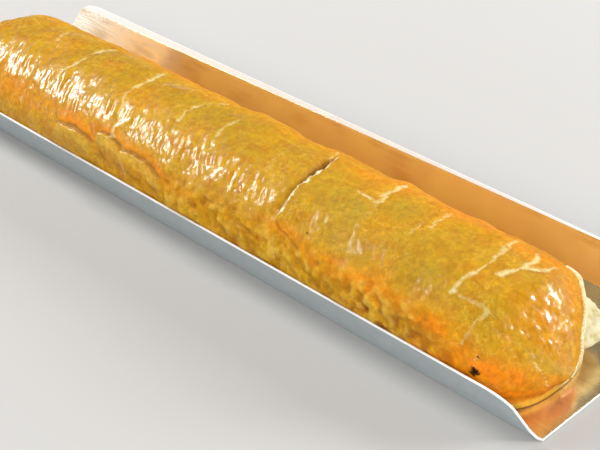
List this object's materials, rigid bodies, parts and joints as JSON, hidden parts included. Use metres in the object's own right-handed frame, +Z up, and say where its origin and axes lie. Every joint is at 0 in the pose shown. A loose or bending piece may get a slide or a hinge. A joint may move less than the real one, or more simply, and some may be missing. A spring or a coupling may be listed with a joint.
{
  "type": "sausage_roll",
  "caption": "Long glazed puff pastry sausage roll with a cracked golden crust, lying in its folded card tray with foil inside",
  "frame": {"origin": "On the surface that the tray stands on, under the middle of the tray's outer box.", "axes": "+X runs along the roll towards the end where the pale dough shows. +Y runs across the tray towards the wall with the free strip of floor beside it. +Z is up."},
  "size_m": [0.3706, 0.104, 0.041],
  "materials": {
    "glazed_pastry": null,
    "pale_dough": null,
    "foil_card": "card with gold foil inside and plain white outside and at its edges"
  },
  "bodies": {
    "root": {"pastry_case": "glazed_pastry", "inner_dough": "pale_dough", "card_tray": "foil_card"}
  },
  "joints": []
}
